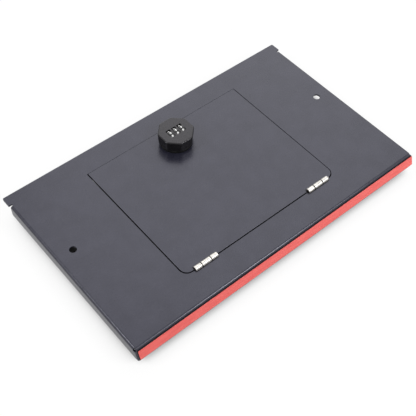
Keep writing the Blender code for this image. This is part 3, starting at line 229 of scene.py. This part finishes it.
class Finish:
    """A node material under construction, whose textures lie in the piece's own space."""

    def __init__(self, name, **sockets):
        self.material = bpy.data.materials.new(name)
        self.material.use_nodes = True
        self.tree = self.material.node_tree
        self.shader = self.tree.nodes["Principled BSDF"]
        for socket, value in sockets.items():
            self.shader.inputs[socket.replace("_", " ")].default_value = value
        self.place = self.tree.nodes.new("ShaderNodeTexCoord").outputs["Object"]

    def feed(self, socket, source):
        """Links a source to a socket of the shader."""
        self.tree.links.new(source, self.shader.inputs[socket])

    def noise(self, size, detail=3.0, stretch=(1, 1, 1)):
        """A noise whose patches are about size across, drawn out along an axis by stretch."""
        scale = [1 / (size * share) for share in stretch]
        mapping = wired(self.tree, "ShaderNodeMapping", {"Vector": self.place, "Scale": scale})
        inputs = {"Vector": mapping.outputs["Vector"], "Scale": 1.0, "Detail": detail}
        return wired(self.tree, "ShaderNodeTexNoise", inputs).outputs["Fac"]

    def patches(self, source, low, high):
        """Colours from low to high over the middle of a noise's range."""
        return toned(self.tree, source, PATCH_ENDS, low, high)

    def base(self, source):
        """Links a colour to the shader."""
        self.feed("Base Color", source)

    def roughness(self, source, low, high):
        """Roughness from low to high over the middle of a noise's range."""
        self.feed("Roughness", ranged(self.tree, source, ROUGH_ENDS, (low, high)))

    def coordinate(self, axis):
        """The piece's own X, Y or Z at a point, in metres."""
        return wired(self.tree, "ShaderNodeSeparateXYZ", {"Vector": self.place}).outputs[axis]

    def above(self, height, fade):
        """A mask that is 0 below a height of the piece's own space and 1 above it, with a fade."""
        return ranged(self.tree, self.coordinate("Z"), (height - fade, height + fade))

    def near_splits(self):
        """A mask that is 1 in the splits between a hinge's knuckles, left and right alike, where dark shade
        is painted.
        """
        across = calculated(self.tree, "ABSOLUTE", self.coordinate("X"))
        offsets = [calculated(self.tree, "SUBTRACT", across, place) for place in SPLITS]
        inner, outer = [calculated(self.tree, "ABSOLUTE", offset) for offset in offsets]
        nearest = calculated(self.tree, "MINIMUM", inner, outer)
        return ranged(self.tree, nearest, (SPLIT_HALF + SPLIT_FADE, SPLIT_HALF - SPLIT_FADE))

    def between(self, mask, low, high):
        """A colour from low, where the mask is 0, to high, where it is 1."""
        inputs = {MIX_MASK: mask, MIX_LOW: low, MIX_HIGH: high}
        return wired(self.tree, "ShaderNodeMix", inputs, data_type="RGBA").outputs[MIX_RESULT]

    def bump(self, source, height, under=None):
        """Adds relief of a height, on top of an earlier one if there is one."""
        inputs = {"Distance": height, "Height": source}
        if under is not None:
            inputs["Normal"] = under
        normal = wired(self.tree, "ShaderNodeBump", inputs).outputs["Normal"]
        self.feed("Normal", normal)
        return normal


def powder_coat():
    """Fine satin black powder coat on the sheets."""
    finish = Finish("powder_coat", Specular_IOR_Level=0.5, Specular_Tint=(0.90, 0.90, 1.0, 1.0))
    finish.base(finish.patches(finish.noise(18 * MM, 4.0), colour(30, 30, 41), colour(38, 38, 49)))
    finish.roughness(finish.noise(3 * MM), 0.26, 0.31)
    skin = finish.bump(finish.noise(0.9 * MM, 2.0), 0.010 * MM)
    finish.bump(finish.noise(9 * MM, 1.0), 0.02 * MM, skin)
    return finish.material


def cut_edge():
    """The door's sheared edges, where the coat lies thin and dull."""
    finish = Finish("cut_edge", Specular_IOR_Level=0.08)
    grain = finish.noise(0.5 * MM, 3.0, (1, 1, 6))
    finish.base(finish.patches(grain, colour(14, 14, 17), colour(26, 26, 30)))
    finish.roughness(grain, 0.55, 0.75)
    finish.bump(grain, 0.01 * MM)
    return finish.material


def dull_black():
    """The lock body's thin matt black coat, worn dull."""
    finish = Finish("dull_black", Specular_IOR_Level=0.12)
    grain = finish.noise(1.2 * MM, 4.0)
    finish.base(finish.patches(grain, colour(13, 13, 14), colour(28, 28, 29)))
    finish.roughness(grain, 0.50, 0.68)
    finish.bump(finish.noise(0.4 * MM, 3.0), 0.012 * MM)
    return finish.material


def cast_black():
    """The knob's grainy black coat over a casting."""
    finish = Finish("cast_black", Specular_IOR_Level=0.37, Specular_Tint=(0.95, 0.93, 1.0, 1.0))
    finish.base(finish.patches(finish.noise(1.6 * MM, 4.0), colour(14, 13, 14), colour(32, 31, 32)))
    finish.roughness(finish.noise(1.1 * MM), 0.15, 0.24)
    finish.bump(finish.noise(0.9 * MM, 4.0), 0.03 * MM)
    return finish.material


def wheel_plastic():
    """The number wheels' moulded black plastic."""
    finish = Finish("wheel_plastic")
    finish.base(finish.patches(finish.noise(2 * MM), colour(14, 14, 14), colour(24, 24, 24)))
    finish.roughness(finish.noise(1 * MM), 0.35, 0.45)
    finish.bump(finish.noise(0.3 * MM), 0.004 * MM)
    return finish.material


def digit_paint():
    """White paint filled into the digits."""
    finish = Finish("digit_paint")
    finish.base(finish.patches(finish.noise(0.6 * MM), colour(232, 232, 230), colour(250, 250, 250)))
    finish.roughness(finish.noise(0.5 * MM), 0.45, 0.6)
    finish.bump(finish.noise(0.2 * MM), 0.004 * MM)
    return finish.material


def red_film():
    """The tape's red release film: smooth, with faint lengthwise lines and a soft pressed texture."""
    finish = Finish("red_film", Specular_IOR_Level=0.4)
    lines = finish.noise(1.2 * MM, 3.0, (14, 1, 1))
    finish.base(finish.patches(lines, colour(222, 86, 82), colour(236, 104, 98)))
    finish.roughness(finish.noise(2 * MM), 0.40, 0.55)
    skin = finish.bump(lines, 0.02 * MM)
    finish.bump(finish.noise(0.5 * MM), 0.015 * MM, skin)
    return finish.material


def tape_foam():
    """Closed-cell black foam."""
    finish = Finish("tape_foam", Specular_IOR_Level=0.2)
    cells = finish.noise(0.35 * MM, 2.0)
    finish.base(finish.patches(cells, colour(22, 22, 22), colour(52, 52, 52)))
    finish.roughness(cells, 0.85, 1.0)
    finish.bump(cells, 0.06 * MM)
    return finish.material


def plated(name, low, high, rough_low, rough_high, stretch=(1, 1, 1)):
    """A plated metal with a slight bloom, and lines along an axis where it is brushed."""
    finish = Finish(name, Metallic=1.0)
    finish.base(finish.patches(finish.noise(5 * MM, 4.0), low, high))
    finish.roughness(finish.noise(1.5 * MM, 3.0, stretch), rough_low, rough_high)
    finish.bump(finish.noise(0.25 * MM, 3.0, stretch), 0.006 * MM)
    return finish.material


def half_coated():
    """A hinge leaf: bright nickel on the knuckles with painted shade in the splits between them, and below
    the shade line painted shade in the sheets' black powder coat colour.
    """
    finish = Finish("nickel_and_painted_shade")
    above_shade_line = finish.above(SHADE_LINE, SHADE_FADE)
    grain = finish.noise(1.5 * MM, 3.0, (6, 1, 1))
    nickel = finish.patches(finish.noise(4 * MM, 4.0), colour(180, 177, 172), colour(204, 201, 196))
    # Painted shade: the knuckles turn dark near the splits between them
    nickel_with_split_shade = finish.between(finish.near_splits(), nickel, colour(30, 28, 26))
    # Painted shade: below the line the leaves, which lie unlit in the slot, take the coat's dark colour
    coat_coloured_shade = finish.patches(finish.noise(4 * MM, 4.0), colour(30, 30, 38), colour(38, 38, 46))
    finish.base(finish.between(above_shade_line, coat_coloured_shade, nickel_with_split_shade))
    finish.feed("Metallic", above_shade_line)
    finish.roughness(grain, 0.34, 0.46)
    finish.bump(grain, 0.006 * MM)
    return finish.material


FINISHES = {
    "powder": powder_coat(),
    "edge": cut_edge(),
    "hinge": half_coated(),
    "cast": cast_black(),
    "dull": dull_black(),
    "wheel": wheel_plastic(),
    "digit": digit_paint(),
    "film": red_film(),
    "foam": tape_foam(),
    # The pins' dark oxide tone also paints shade: seen through the splits between knuckles, it reads as the
    # dark there
    "oxide_and_split_shade": plated("oxide_steel_dark_as_split_shade", colour(52, 50, 48), colour(74, 72, 70), 0.40, 0.55, (6, 1, 1)),
    "zinc": plated("zinc_plate", colour(168, 170, 174), colour(200, 202, 206), 0.30, 0.46),
    "casting": plated("zinc_casting", colour(146, 148, 150), colour(176, 178, 180), 0.42, 0.60),
    "spring": plated("spring_steel", colour(150, 150, 152), colour(186, 186, 188), 0.22, 0.34, (1, 8, 1)),
    "brass": plated("turned_brass", colour(190, 158, 92), colour(214, 184, 118), 0.26, 0.40, (8, 1, 1)),
}

# Each sub-part: its finish and the width of its edges' bevel in millimetres
LOOKS = {
    "cover_panel": ("powder", 0.10),
    "door_panel": ("powder", 0.10),
    "latch_keeper": ("powder", 0.15),
    "tape_foam": ("foam", 0.05),
    "tape_liner": ("film", 0.04),
    "hinge_frame_leaf_left": ("hinge", 0.25),
    "hinge_frame_leaf_right": ("hinge", 0.25),
    "hinge_door_leaf_left": ("hinge", 0.25),
    "hinge_door_leaf_right": ("hinge", 0.25),
    "hinge_pin_left": ("oxide_and_split_shade", 0.05),
    "hinge_pin_right": ("oxide_and_split_shade", 0.05),
    "lock_body": ("dull", 0.12),
    "lock_washer": ("zinc", 0.08),
    "lock_nut": ("zinc", 0.15),
    "knob_housing": ("cast", 0.25),
    "knob_rotor": ("casting", 0.10),
    "knob_screw_1": ("zinc", 0.05),
    "knob_screw_2": ("zinc", 0.05),
    "knob_screw_3": ("zinc", 0.05),
    "stop_washer": ("zinc", 0.08),
    "cam": ("zinc", 0.15),
    "cam_washer": ("zinc", 0.06),
    "cam_screw": ("zinc", 0.12),
    "wheel_axle": ("spring", 0.10),
    "detent_spring": ("spring", 0.03),
    "bolt_spring": ("spring", 0.03),
    "locking_bolt": ("brass", 0.06),
    "number_wheel_left": ("wheel", 0.10),
    "number_wheel_centre": ("wheel", 0.10),
    "number_wheel_right": ("wheel", 0.10),
    "code_sleeve_left": ("brass", 0.05),
    "code_sleeve_centre": ("brass", 0.05),
    "code_sleeve_right": ("brass", 0.05),
}
CUT_EDGES = ("door_panel",)
BODY_OF = {node: body for body, nodes in frame["record"]["behaviour"]["bodies"].items() for node in nodes}


def new_piece(name, bm, finish, body):
    """An object of the scene made from a mesh under construction, riding on a body."""
    mesh = bpy.data.meshes.new(name)
    bm.to_mesh(mesh)
    bm.free()
    piece = bpy.data.objects.new(name, mesh)
    bpy.context.scene.collection.objects.link(piece)
    mesh.materials.append(FINISHES[finish])
    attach(piece, body)
    return piece


def welded_copy(node):
    """The node's mesh with its split points joined and its flat facets merged."""
    bm = bmesh.new()
    bm.from_mesh(frame["nodes"][node].data)
    bmesh.ops.remove_doubles(bm, verts=bm.verts, dist=WELD)
    bmesh.ops.dissolve_limit(bm, angle_limit=FLAT_ANGLE, verts=bm.verts, edges=bm.edges)
    return bm


def soften(piece, width):
    """Rounds the piece's edges and shades it smooth between them."""
    bevel = piece.modifiers.new("edges", "BEVEL")
    bevel.width = width
    bevel.segments = BEVEL_STEPS
    bevel.limit_method = "ANGLE"
    bevel.angle_limit = SHARP_ANGLE
    bevel.use_clamp_overlap = True
    piece.data.shade_smooth()
    flat_first = piece.modifiers.new("flat_first", "WEIGHTED_NORMAL")
    flat_first.mode = "FACE_AREA"
    flat_first.weight = FLAT_FIRST_WEIGHT


def dress(node, bm):
    """Replaces a node by a mesh in its place, with soft edges and its real finish."""
    finish, bevel = LOOKS[node]
    if node in CUT_EDGES:
        for face in bm.faces:
            face.material_index = int(abs(face.normal.z) < LEVEL_SHARE)
    piece = new_piece(f"{node}_look", bm, finish, BODY_OF[node])
    if node in CUT_EDGES:
        piece.data.materials.append(FINISHES["edge"])
    soften(piece, bevel * MM)
    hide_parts(node)


def rings_to_skin(bm, rings, looped=False):
    """Joins rings of equally many points with faces, and the last ring to the first where looped."""
    rows = [[bm.verts.new(point) for point in ring] for ring in rings]
    pairs = list(zip(rows, rows[1:])) + ([(rows[-1], rows[0])] if looped else [])
    for row, following in pairs:
        for step in range(len(row)):
            after = (step + 1) % len(row)
            bm.faces.new((row[step], row[after], following[after], following[step]))
    return rows


def capped_skin(rings):
    """A closed mesh through rings of equally many points, with a face over each end."""
    bm = bmesh.new()
    rows = rings_to_skin(bm, rings)
    bm.faces.new(rows[0])
    bm.faces.new(rows[-1])
    bmesh.ops.recalc_face_normals(bm, faces=bm.faces)
    return bm


def round_point(centre, radius, angle, z):
    """A point on a level circle round an upright axis."""
    return (centre.x + radius * math.cos(angle), centre.y + radius * math.sin(angle), z)


def chamfered_nut():
    """The lock's nut, six-sided, its corners turned off at both faces."""
    low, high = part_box("lock_nut")
    centre = (low + high) / 2
    half_flats = min(high.x - low.x, high.y - low.y) / 2
    corners = [vert.co for vert in frame["nodes"]["lock_nut"].data.vertices]
    bore = min(math.hypot(corner.x - centre.x, corner.y - centre.y) for corner in corners)
    face = half_flats * NUT_FACE_SHARE
    deepest = (half_flats / math.cos(SIXTH / 2) - face) * math.tan(NUT_CHAMFER)
    first_flat = 0 if high.x - low.x < high.y - low.y else SIXTH / 2
    angles = [2 * math.pi * step / NUT_STEPS for step in range(NUT_STEPS)]

    def ring(depth, z):
        points = []
        for angle in angles:
            from_flat = (angle - first_flat + SIXTH / 2) % SIXTH - SIXTH / 2
            reach = min(half_flats / math.cos(from_flat), face + depth / math.tan(NUT_CHAMFER))
            points.append(round_point(centre, reach, angle, z))
        return points

    depths = [deepest * step / NUT_RINGS for step in range(NUT_RINGS + 1)]
    rings = [[round_point(centre, bore, angle, z) for angle in angles] for z in (high.z, low.z)]
    rings += [ring(depth, low.z + depth) for depth in depths]
    rings += [ring(depth, high.z - depth) for depth in reversed(depths)]
    bm = bmesh.new()
    rings_to_skin(bm, rings, looped=True)
    bmesh.ops.recalc_face_normals(bm, faces=bm.faces)
    return bm


def cross_cutter(centre, mouth_z):
    """A cross that starts below a screw's face, goes up through it and tapers inside the head."""
    half, thick = RECESS_LENGTH / 2, RECESS_WIDTH / 2
    quarter = [(half, -thick), (half, thick), (thick, thick)]
    outline = []
    for arm in range(RECESS_ARMS):
        turned = Matrix.Rotation(2 * math.pi * arm / RECESS_ARMS, 2)
        outline += [turned @ Vector(point) for point in quarter]
    rings = []
    levels = ((1, -RECESS_DEPTH), (1, 0), (RECESS_TAPER_SHARE, RECESS_DEPTH))
    for share, rise in levels:
        z = mouth_z + rise
        rings.append([(centre.x + point.x * share, centre.y + point.y * share, z) for point in outline])
    return capped_skin(rings)


def loose_object(bm):
    """An object of the scene made from a mesh under construction, riding on nothing yet."""
    mesh = bpy.data.meshes.new("loose")
    bm.to_mesh(mesh)
    bm.free()
    made = bpy.data.objects.new("loose", mesh)
    bpy.context.scene.collection.objects.link(made)
    return made


def settled_mesh(made):
    """The mesh of an object as it stands with its modifiers. The object itself is removed."""
    bpy.context.view_layer.update()
    graph = bpy.context.evaluated_depsgraph_get()
    mesh = bpy.data.meshes.new_from_object(made.evaluated_get(graph))
    bpy.data.objects.remove(made, do_unlink=True)
    return mesh


def carved(solid_bm, cutter_bm):
    """The first mesh with the second one's volume taken out."""
    solid, cutter = loose_object(solid_bm), loose_object(cutter_bm)
    hole = solid.modifiers.new("hole", "BOOLEAN")
    hole.operation = "DIFFERENCE"
    hole.solver = "EXACT"
    hole.object = cutter
    mesh = settled_mesh(solid)
    bpy.data.objects.remove(cutter, do_unlink=True)
    bm = bmesh.new()
    bm.from_mesh(mesh)
    bpy.data.meshes.remove(mesh)
    return bm


def nearness(distance):
    """1 on a straight rim of the opening, falling to 0 at the far end of its corner's arc."""
    return max(0.0, 1 - abs(distance) / RIM_FADE)


def fitted_rim():
    """The cover, with the edges of its opening moved to where the photograph shows them."""
    low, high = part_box("door_panel")
    bm = welded_copy("cover_panel")
    for vert in bm.verts:
        x, y = vert.co.x, vert.co.y
        if not low.y - RIM_SEARCH < y < high.y + RIM_SEARCH:
            continue
        if abs(x) > high.x + RIM_SEARCH:
            continue
        if abs(y - high.y) < RIM_SEARCH:
            vert.co.y -= REAR_RIM_IN
        vert.co.y -= FRONT_RIM_OUT * nearness(y - low.y)
        vert.co.x -= LEFT_RIM_OUT * nearness(x - low.x)
        vert.co.x -= RIGHT_RIM_IN * nearness(x - high.x)
    return bm


def polar(point, centre):
    """A point's distance from the knob's axis, and its angle from the nearest corner of the octagon."""
    x, y = point.x - centre.x, point.y - centre.y
    return math.hypot(x, y), (math.atan2(y, x) / EIGHTH % 1 - 0.5) * EIGHTH


def cut_at_corners(bm, centre, angle):
    """Cuts the mesh with upright planes near each corner, for the points of its rounding."""
    for corner in range(CORNER_PAIRS):
        for share in CORNER_CUT_SHARES:
            turn = (corner + 0.5) * EIGHTH + share * angle
            across = Vector((-math.sin(turn), math.cos(turn), 0))
            everything = bm.verts[:] + bm.edges[:] + bm.faces[:]
            bmesh.ops.bisect_plane(bm, geom=everything, dist=WELD, plane_co=centre, plane_no=across)


def knob_skin(bm, centre, half_width):
    """The housing's outer points, each with its side's distance from the axis and its angle from a corner."""
    skin = []
    for vert in bm.verts:
        distance, angle = polar(vert.co, centre)
        side = distance * math.cos(EIGHTH / 2 - abs(angle))
        if side > half_width - KNOB_SKIN:
            skin.append((vert, side, angle))
    return skin


def rounded_knob():
    """The knob's housing with its eight upright corners rounded off."""
    low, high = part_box("knob_housing")
    centre = (low + high) / 2
    half_width = (high.x - low.x) / 2
    half_turn = EIGHTH / 2
    reach = (half_width - CORNER_ROUND) / math.cos(half_turn)

    def tangent_angle(radius):
        return math.atan2(radius * math.sin(half_turn), reach + radius * math.cos(half_turn))

    bm = welded_copy("knob_housing")
    cut_at_corners(bm, centre, tangent_angle(CORNER_ROUND))
    skin = knob_skin(bm, centre, half_width)
    sides = {vert.co.z: side for vert, side, angle in skin if abs(angle) > CORNER_MIDDLE}
    for vert, _, angle in skin:
        level = min(sides, key=lambda z: abs(z - vert.co.z))
        radius = CORNER_ROUND - half_width + sides[level]
        if abs(angle) > tangent_angle(radius):
            continue
        distance = reach * math.cos(angle) + math.sqrt(radius ** 2 - (reach * math.sin(angle)) ** 2)
        flat = Vector((vert.co.x - centre.x, vert.co.y - centre.y, 0)).normalized() * distance
        vert.co = (centre.x + flat.x, centre.y + flat.y, level)
    return bm


def recessed_screw():
    """The cam's screw with a cross recess in its head, which faces down."""
    low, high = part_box("cam_screw")
    return carved(welded_copy("cam_screw"), cross_cutter((low + high) / 2, low.z))


def digit_mesh(number):
    """A digit as a flat mesh round the origin, its height and width as named."""
    text = bpy.data.curves.new("digit", "FONT")
    text.body = str(number)
    text.extrude = (DIGIT_PROUD + DIGIT_SINK) / 2
    text.offset = DIGIT_BOLD_SHARE
    text.resolution_u = DIGIT_CURVE_STEPS
    drawn = bpy.data.objects.new("digit", text)
    bpy.context.scene.collection.objects.link(drawn)
    mesh = settled_mesh(drawn)
    bpy.data.curves.remove(text)
    xs = [vert.co.x for vert in mesh.vertices]
    ys = [vert.co.y for vert in mesh.vertices]
    middle = Vector(((min(xs) + max(xs)) / 2, (min(ys) + max(ys)) / 2, 0))
    tall = DIGIT_HEIGHT / (max(ys) - min(ys))
    wide = min(tall, DIGIT_WIDTH / (max(xs) - min(xs)))
    for vert in mesh.vertices:
        vert.co = ((vert.co.x - middle.x) * wide, (vert.co.y - middle.y) * tall, vert.co.z)
    return mesh


def number_the_wheel(name):
    """Wraps the digits 0 to 9 round a number wheel, upright from the front."""
    low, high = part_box(f"number_wheel_{name}")
    centre = (low + high) / 2
    radius = (high.z - low.z) / 2
    bm = bmesh.new()
    for number in range(DIGIT_COUNT):
        mesh = digit_mesh(number)
        start = len(bm.verts)
        bm.from_mesh(mesh)
        bpy.data.meshes.remove(mesh)
        bm.verts.ensure_lookup_table()
        turn = 2 * math.pi * (number - TOP_DIGIT) / DIGIT_COUNT
        for vert in bm.verts[start:]:
            angle = turn + vert.co.y / radius
            reach = radius + vert.co.z - (DIGIT_SINK - DIGIT_PROUD) / 2
            vert.co = centre + Vector((vert.co.x, reach * math.sin(angle), reach * math.cos(angle)))
    bmesh.ops.remove_doubles(bm, verts=bm.verts, dist=WELD)
    new_piece(f"wheel_digits_{name}", bm, "digit", f"wheel_{name}")


def barrel_thread():
    """The thread of the lock's barrel, one long ridge wound round it and cut away at its two flats."""
    low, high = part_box("lock_body")
    centre = (low + high) / 2
    start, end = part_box("door_panel")[0].z, low.z + BARREL_END
    steps = int((start - end) / THREAD_PITCH * THREAD_STEPS)
    ridge = ((THREAD_ROOT, -THREAD_HALF_WIDTH), (THREAD_CREST, 0), (THREAD_ROOT, THREAD_HALF_WIDTH))
    rings = []
    for step in range(steps + 1):
        angle = 2 * math.pi * step / THREAD_STEPS
        z = start - THREAD_PITCH * step / THREAD_STEPS
        ring = []
        for radius, rise in ridge:
            point = Vector(round_point(centre, radius, angle, z + rise))
            point.x = max(-FLAT_REACH, min(FLAT_REACH, point.x))
            ring.append(point)
        rings.append(ring)
    new_piece("barrel_thread", capped_skin(rings), "dull", BODY_OF["lock_body"])


def let_the_spring_give():
    """Gives the leaf spring's look a mesh of its own."""
    spring = bpy.data.objects["bolt_spring_look"]
    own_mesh(spring)


def dress_all():
    """Dresses every sub-part, and adds the digits and the thread."""
    own_shapes = {
        "cover_panel": fitted_rim,
        "knob_housing": rounded_knob,
        "lock_nut": chamfered_nut,
        "cam_screw": recessed_screw,
    }
    for node in LOOKS:
        make = own_shapes.get(node)
        dress(node, make() if make else welded_copy(node))
    for name in ("left", "centre", "right"):
        number_the_wheel(name)
    barrel_thread()
    let_the_spring_give()


def area_light(name, direction, size, radiance):
    """A square lamp that faces the object's middle, its power set by its brightness."""
    lamp = bpy.data.lights.new(name, "AREA")
    lamp.shape = "SQUARE"
    lamp.size = size
    lamp.energy = math.pi * size * size * radiance
    light = bpy.data.objects.new(name, lamp)
    bpy.context.scene.collection.objects.link(light)
    away = Vector(direction).normalized()
    light.location = away * LAMP_DISTANCE
    light.rotation_mode = "QUATERNION"
    light.rotation_quaternion = away.to_track_quat("Z", "Y")


def seen_directly(tree):
    """A mask that is 1 for what the camera, a mirror or glass shows, and 0 for light on a matt surface."""
    path = tree.nodes.new("ShaderNodeLightPath")
    mask = path.outputs["Is Camera Ray"]
    for name in ("Is Glossy Ray", "Is Transmission Ray"):
        mask = calculated(tree, "MAXIMUM", mask, path.outputs[name])
    return mask


def mixed(tree, mask, low, high):
    """A shader that is low where the mask is 0 and high where it is 1."""
    return wired(tree, "ShaderNodeMixShader", {"Fac": mask, 1: low, 2: high}).outputs["Shader"]


def make_world():
    """An even sky over the object, which the camera, metal and glass see as white."""
    world = bpy.data.worlds.new("studio")
    world.use_nodes = True
    tree = world.node_tree
    lit = tree.nodes["Background"]
    lit.inputs["Strength"].default_value = WORLD_STRENGTH
    lit.inputs["Color"].default_value = WHITE
    white = wired(tree, "ShaderNodeBackground", {"Color": WHITE})
    seen = mixed(tree, seen_directly(tree), lit.outputs["Background"], white.outputs["Background"])
    tree.links.new(seen, tree.nodes["World Output"].inputs["Surface"])
    bpy.context.scene.world = world


def floor_paper():
    """White paper that keeps a share of the real shadow in the open, and all of it under the object, where
    its colour also darkens to a painted shadow as less sky reaches it.
    """
    made = bpy.data.materials.new("floor")
    made.use_nodes = True
    tree = made.node_tree
    paper = tree.nodes["Principled BSDF"]
    paper.inputs["Roughness"].default_value = 1.0
    paper.inputs["Specular IOR Level"].default_value = 0.0
    sky = wired(tree, "ShaderNodeAmbientOcclusion", {"Distance": COVERED_REACH})
    in_the_open = ranged(tree, sky.outputs["AO"], (COVERED_SHARE, OPEN_SHARE))
    # Painted shadow: the paper's colour darkens under and near the object as less of the sky reaches it
    painted_shadow_tone = toned(tree, in_the_open, (0, 1), PAINTED_SHADOW_COLOUR, FLOOR_COLOUR)
    tree.links.new(painted_shadow_tone, paper.inputs["Base Color"])
    white = tree.nodes.new("ShaderNodeEmission")
    pale = calculated(tree, "MULTIPLY", in_the_open, 1 - SHADOW_SHARE)
    share = calculated(tree, "MULTIPLY", seen_directly(tree), pale)
    seen = mixed(tree, share, paper.outputs["BSDF"], white.outputs["Emission"])
    tree.links.new(seen, tree.nodes["Material Output"].inputs["Surface"])
    return made


def make_floor():
    """A pale floor under the object, with a painted shadow beneath it."""
    bm = bmesh.new()
    corners = [(-1, -1), (1, -1), (1, 1), (-1, 1)]
    bm.faces.new([bm.verts.new((FLOOR_HALF * x, FLOOR_HALF * y, CAD_BOX[0].z)) for x, y in corners])
    floor = loose_object(bm)
    floor.name = "floor"
    floor.data.materials.append(floor_paper())


def make_camera():
    """The photograph's view."""
    lens = bpy.data.cameras.new("camera")
    lens.sensor_width = SENSOR_WIDTH
    lens.lens = FOCAL_PIXELS * SENSOR_WIDTH / IMAGE_WIDTH
    camera = bpy.data.objects.new("camera", lens)
    bpy.context.scene.collection.objects.link(camera)
    forward = Vector(CAMERA_FORWARD).normalized()
    right = Vector(CAMERA_RIGHT)
    right = (right - forward * right.dot(forward)).normalized()
    up = right.cross(forward)
    turn = Matrix((right, up, -forward)).transposed()
    camera.matrix_world = Matrix.Translation(CAMERA_PLACE) @ turn.to_4x4()
    bpy.context.scene.camera = camera


make_camera()
for lamp_name, lamp_facts in LAMPS.items():
    area_light(lamp_name, *lamp_facts)
make_world()
make_floor()
dress_all()
bpy.context.scene.view_settings.view_transform = "Standard"
